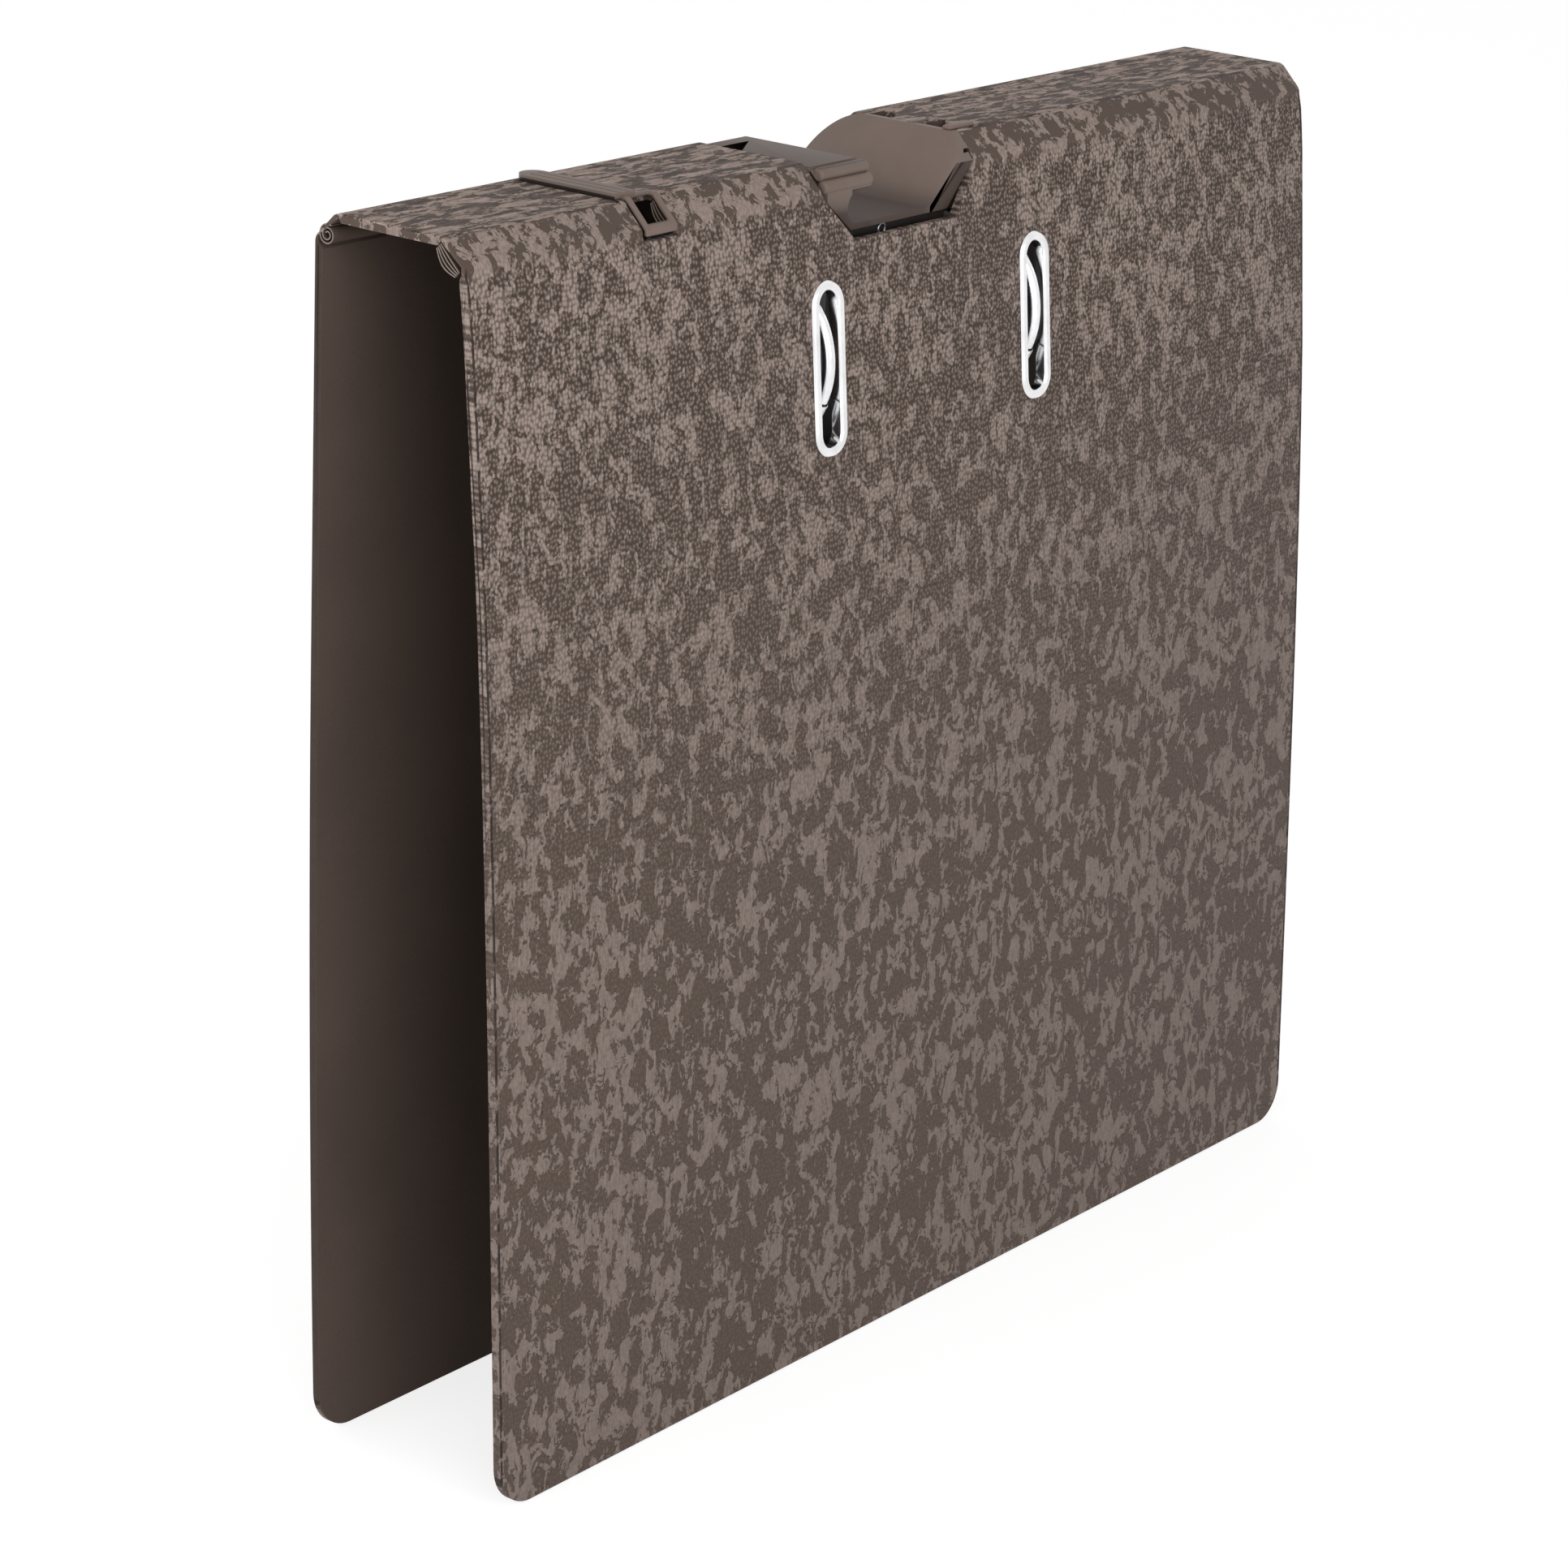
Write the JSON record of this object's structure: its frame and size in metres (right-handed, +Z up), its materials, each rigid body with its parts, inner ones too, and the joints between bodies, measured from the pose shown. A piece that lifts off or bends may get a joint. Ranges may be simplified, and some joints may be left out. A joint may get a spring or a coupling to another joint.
{
  "type": "hanging lever arch file",
  "caption": "Card file with a lever arch mechanism, slotted eyelets in the front cover and a hook moulding in the spine, so that it hangs from a rail or stands on its covers.",
  "frame": {"origin": "middle of the footprint, at the height of the covers' bottom edges", "axes": "+X along the spine, -Y towards the front cover, +Z up"},
  "size_m": [0.318, 0.0622, 0.2863],
  "materials": {
    "board": "embossed cloud marble paper on grey board",
    "plastic": "plain matt moulding",
    "nickel": "bright nickel plate",
    "zinc": "zinc plated sheet steel",
    "black_plastic": "satin black sleeve"
  },
  "bodies": {
    "back": {"back_cover": "board", "base_plate": "zinc", "post_left": "nickel", "post_right": "nickel", "lever_pin": "zinc", "leaf_spring": "zinc", "rivet_top_left": "nickel", "rivet_top_right": "nickel", "rivet_foot_left": "nickel", "rivet_foot_right": "nickel"},
    "spine": {"spine_left": "board", "spine_right": "board", "hanger": "plastic", "strap": "plastic"},
    "front": {"front_cover": "board", "eyelet_left": "nickel", "eyelet_right": "nickel"},
    "arch": {"arch_wire": "nickel"},
    "lever": {"lever": "zinc", "lever_grip": "black_plastic", "roller_pin": "zinc"},
    "roller": {"roller": "zinc"}
  },
  "joints": [
    {"name": "spine_fold", "type": "hinge", "parent": "back", "child": "spine", "pos_m": [0, 0.03002, 0.27915], "axis": [-1, 0, 0], "range_deg": [0, 90]},
    {"name": "front_fold", "type": "hinge", "parent": "spine", "child": "front", "pos_m": [0, -0.01238, 0.27915], "axis": [-1, 0, 0], "range_deg": [0, 170]},
    {"name": "arch_hinge", "type": "hinge", "parent": "back", "child": "arch", "pos_m": [0, 0.02382, 0.2596], "axis": [-1, 0, 0], "range_deg": [0, 30]},
    {"name": "lever_hinge", "type": "hinge", "parent": "back", "child": "lever", "pos_m": [0, 0.01482, 0.2536], "axis": [-1, 0, 0], "range_deg": [0, 90]},
    {"name": "roller_spin", "type": "hinge", "parent": "lever", "child": "roller", "pos_m": [0, 0.01972, 0.2486], "axis": [1, 0, 0], "continuous": true}
  ],
  "couplings": [
    {"joint": "arch_hinge", "follows": "front_fold", "ratio": 0.1765},
    {"joint": "lever_hinge", "follows": "front_fold", "ratio": 0.529}
  ]
}
